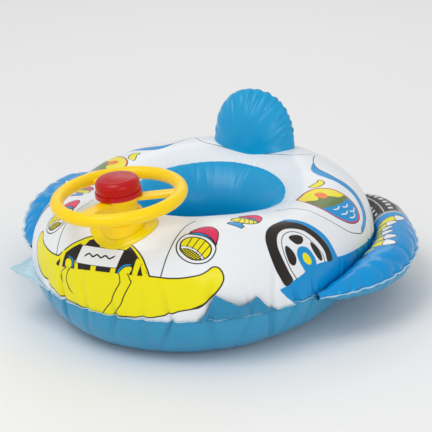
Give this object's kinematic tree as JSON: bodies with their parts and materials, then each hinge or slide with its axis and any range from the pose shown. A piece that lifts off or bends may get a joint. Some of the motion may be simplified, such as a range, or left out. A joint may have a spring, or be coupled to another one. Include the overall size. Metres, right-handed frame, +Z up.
{
  "type": "inflatable baby seat float",
  "caption": "Inflatable baby seat ring shaped like a small car, with side tubes, a pillow backrest, a turning steering wheel and a squeeze horn.",
  "frame": {"origin": "on the floor under the middle of the float's outline", "axes": "+Z up, -Y towards the nose and the steering wheel, +X to the sitting child's left-hand side seen from the front, the float's right in the view from the wheel"},
  "size_m": [0.644, 0.6582, 0.2749],
  "materials": {
    "white_film": "glossy printed vinyl film",
    "cyan_film": "glossy vinyl film",
    "steel_blue_film": "glossy vinyl film",
    "blue_film": "glossy printed vinyl film",
    "clear_edge": "welded double film",
    "clear_yellow_film": "translucent vinyl",
    "yellow_plastic": "semi-gloss moulded plastic",
    "red_plastic": "semi-gloss moulded plastic",
    "white_plastic": "moulded plastic",
    "clear_valve": "soft translucent vinyl"
  },
  "bodies": {
    "hull": {"hull_top_sheet": "white_film", "hull_well_wall": "cyan_film", "hull_bottom_sheet": "steel_blue_film", "front_weld_margin": "clear_edge", "rear_weld_margin": "clear_edge", "right_corner_flap": "white_film", "left_corner_flap": "white_film", "seat_sheet": "cyan_film", "left_tube_upper_film": "blue_film", "left_tube_lower_film": "steel_blue_film", "left_tube_weld_margin": "clear_edge", "right_tube_upper_film": "blue_film", "right_tube_lower_film": "steel_blue_film", "right_tube_weld_margin": "clear_edge", "backrest_front_panel": "cyan_film", "backrest_rear_panel": "cyan_film", "steering_patch": "clear_yellow_film", "steering_socket": "yellow_plastic", "wheel_retaining_ring": "white_plastic", "hull_valve_body": "clear_valve", "left_tube_valve_body": "clear_valve", "right_tube_valve_body": "clear_valve", "backrest_valve_body": "clear_valve"},
    "wheel": {"steering_wheel": "yellow_plastic", "horn_base": "red_plastic", "squeaker_reed": "white_plastic", "horn_bulb": "red_plastic"},
    "horn_button": {"horn_cap": "red_plastic"},
    "hull_stopper": {"hull_valve_stopper": "clear_valve"},
    "hull_check_flap": {"hull_valve_flap": "clear_valve"},
    "left_tube_stopper": {"left_tube_valve_stopper": "clear_valve"},
    "left_tube_check_flap": {"left_tube_valve_flap": "clear_valve"},
    "right_tube_stopper": {"right_tube_valve_stopper": "clear_valve"},
    "right_tube_check_flap": {"right_tube_valve_flap": "clear_valve"},
    "backrest_stopper": {"backrest_valve_stopper": "clear_valve"},
    "backrest_check_flap": {"backrest_valve_flap": "clear_valve"}
  },
  "joints": [
    {"name": "steering_spin", "type": "hinge", "parent": "hull", "child": "wheel", "pos_m": [-0.01611, -0.23136, 0.23788], "axis": [-0.0799, -0.073, 0.9941], "continuous": true},
    {"name": "horn_press", "type": "slide", "parent": "wheel", "child": "horn_button", "axis": [0.0799, 0.073, -0.9941], "range_m": [0, 0.004], "stiffness_N_per_m": 600, "springref_m": -0.001, "deforming": ["horn_bulb"]},
    {"name": "hull_stopper_pull", "type": "slide", "parent": "hull", "child": "hull_stopper", "axis": [-0.1356, 0.7692, 0.6245], "range_m": [0, 0.008]},
    {"name": "hull_flap_swing", "type": "hinge", "parent": "hull", "child": "hull_check_flap", "pos_m": [-0.04159, 0.29341, 0.1408], "axis": [0.1084, -0.615, 0.781], "range_deg": [0, 35], "stiffness_Nm_per_rad": 0.0005},
    {"name": "left_tube_stopper_pull", "type": "slide", "parent": "hull", "child": "left_tube_stopper", "axis": [-0.3402, 0.2658, -0.902], "range_m": [0, 0.008]},
    {"name": "left_tube_flap_swing", "type": "hinge", "parent": "hull", "child": "left_tube_check_flap", "pos_m": [-0.24377, 0.22913, 0.05736], "axis": [-0.7108, 0.5553, 0.4317], "range_deg": [0, 35], "stiffness_Nm_per_rad": 0.0005},
    {"name": "right_tube_stopper_pull", "type": "slide", "parent": "hull", "child": "right_tube_stopper", "axis": [0.3402, 0.2658, -0.902], "range_m": [0, 0.008]},
    {"name": "right_tube_flap_swing", "type": "hinge", "parent": "hull", "child": "right_tube_check_flap", "pos_m": [0.24894, 0.22251, 0.05736], "axis": [0.7108, 0.5553, 0.4317], "range_deg": [0, 35], "stiffness_Nm_per_rad": 0.0005},
    {"name": "backrest_stopper_pull", "type": "slide", "parent": "hull", "child": "backrest_stopper", "axis": [0, 0.9928, 0.1195], "range_m": [0, 0.008]},
    {"name": "backrest_flap_swing", "type": "hinge", "parent": "hull", "child": "backrest_check_flap", "pos_m": [-0.0042, 0.24811, 0.21013], "axis": [0, 0.1195, -0.9928], "range_deg": [0, 35], "stiffness_Nm_per_rad": 0.0005}
  ]
}
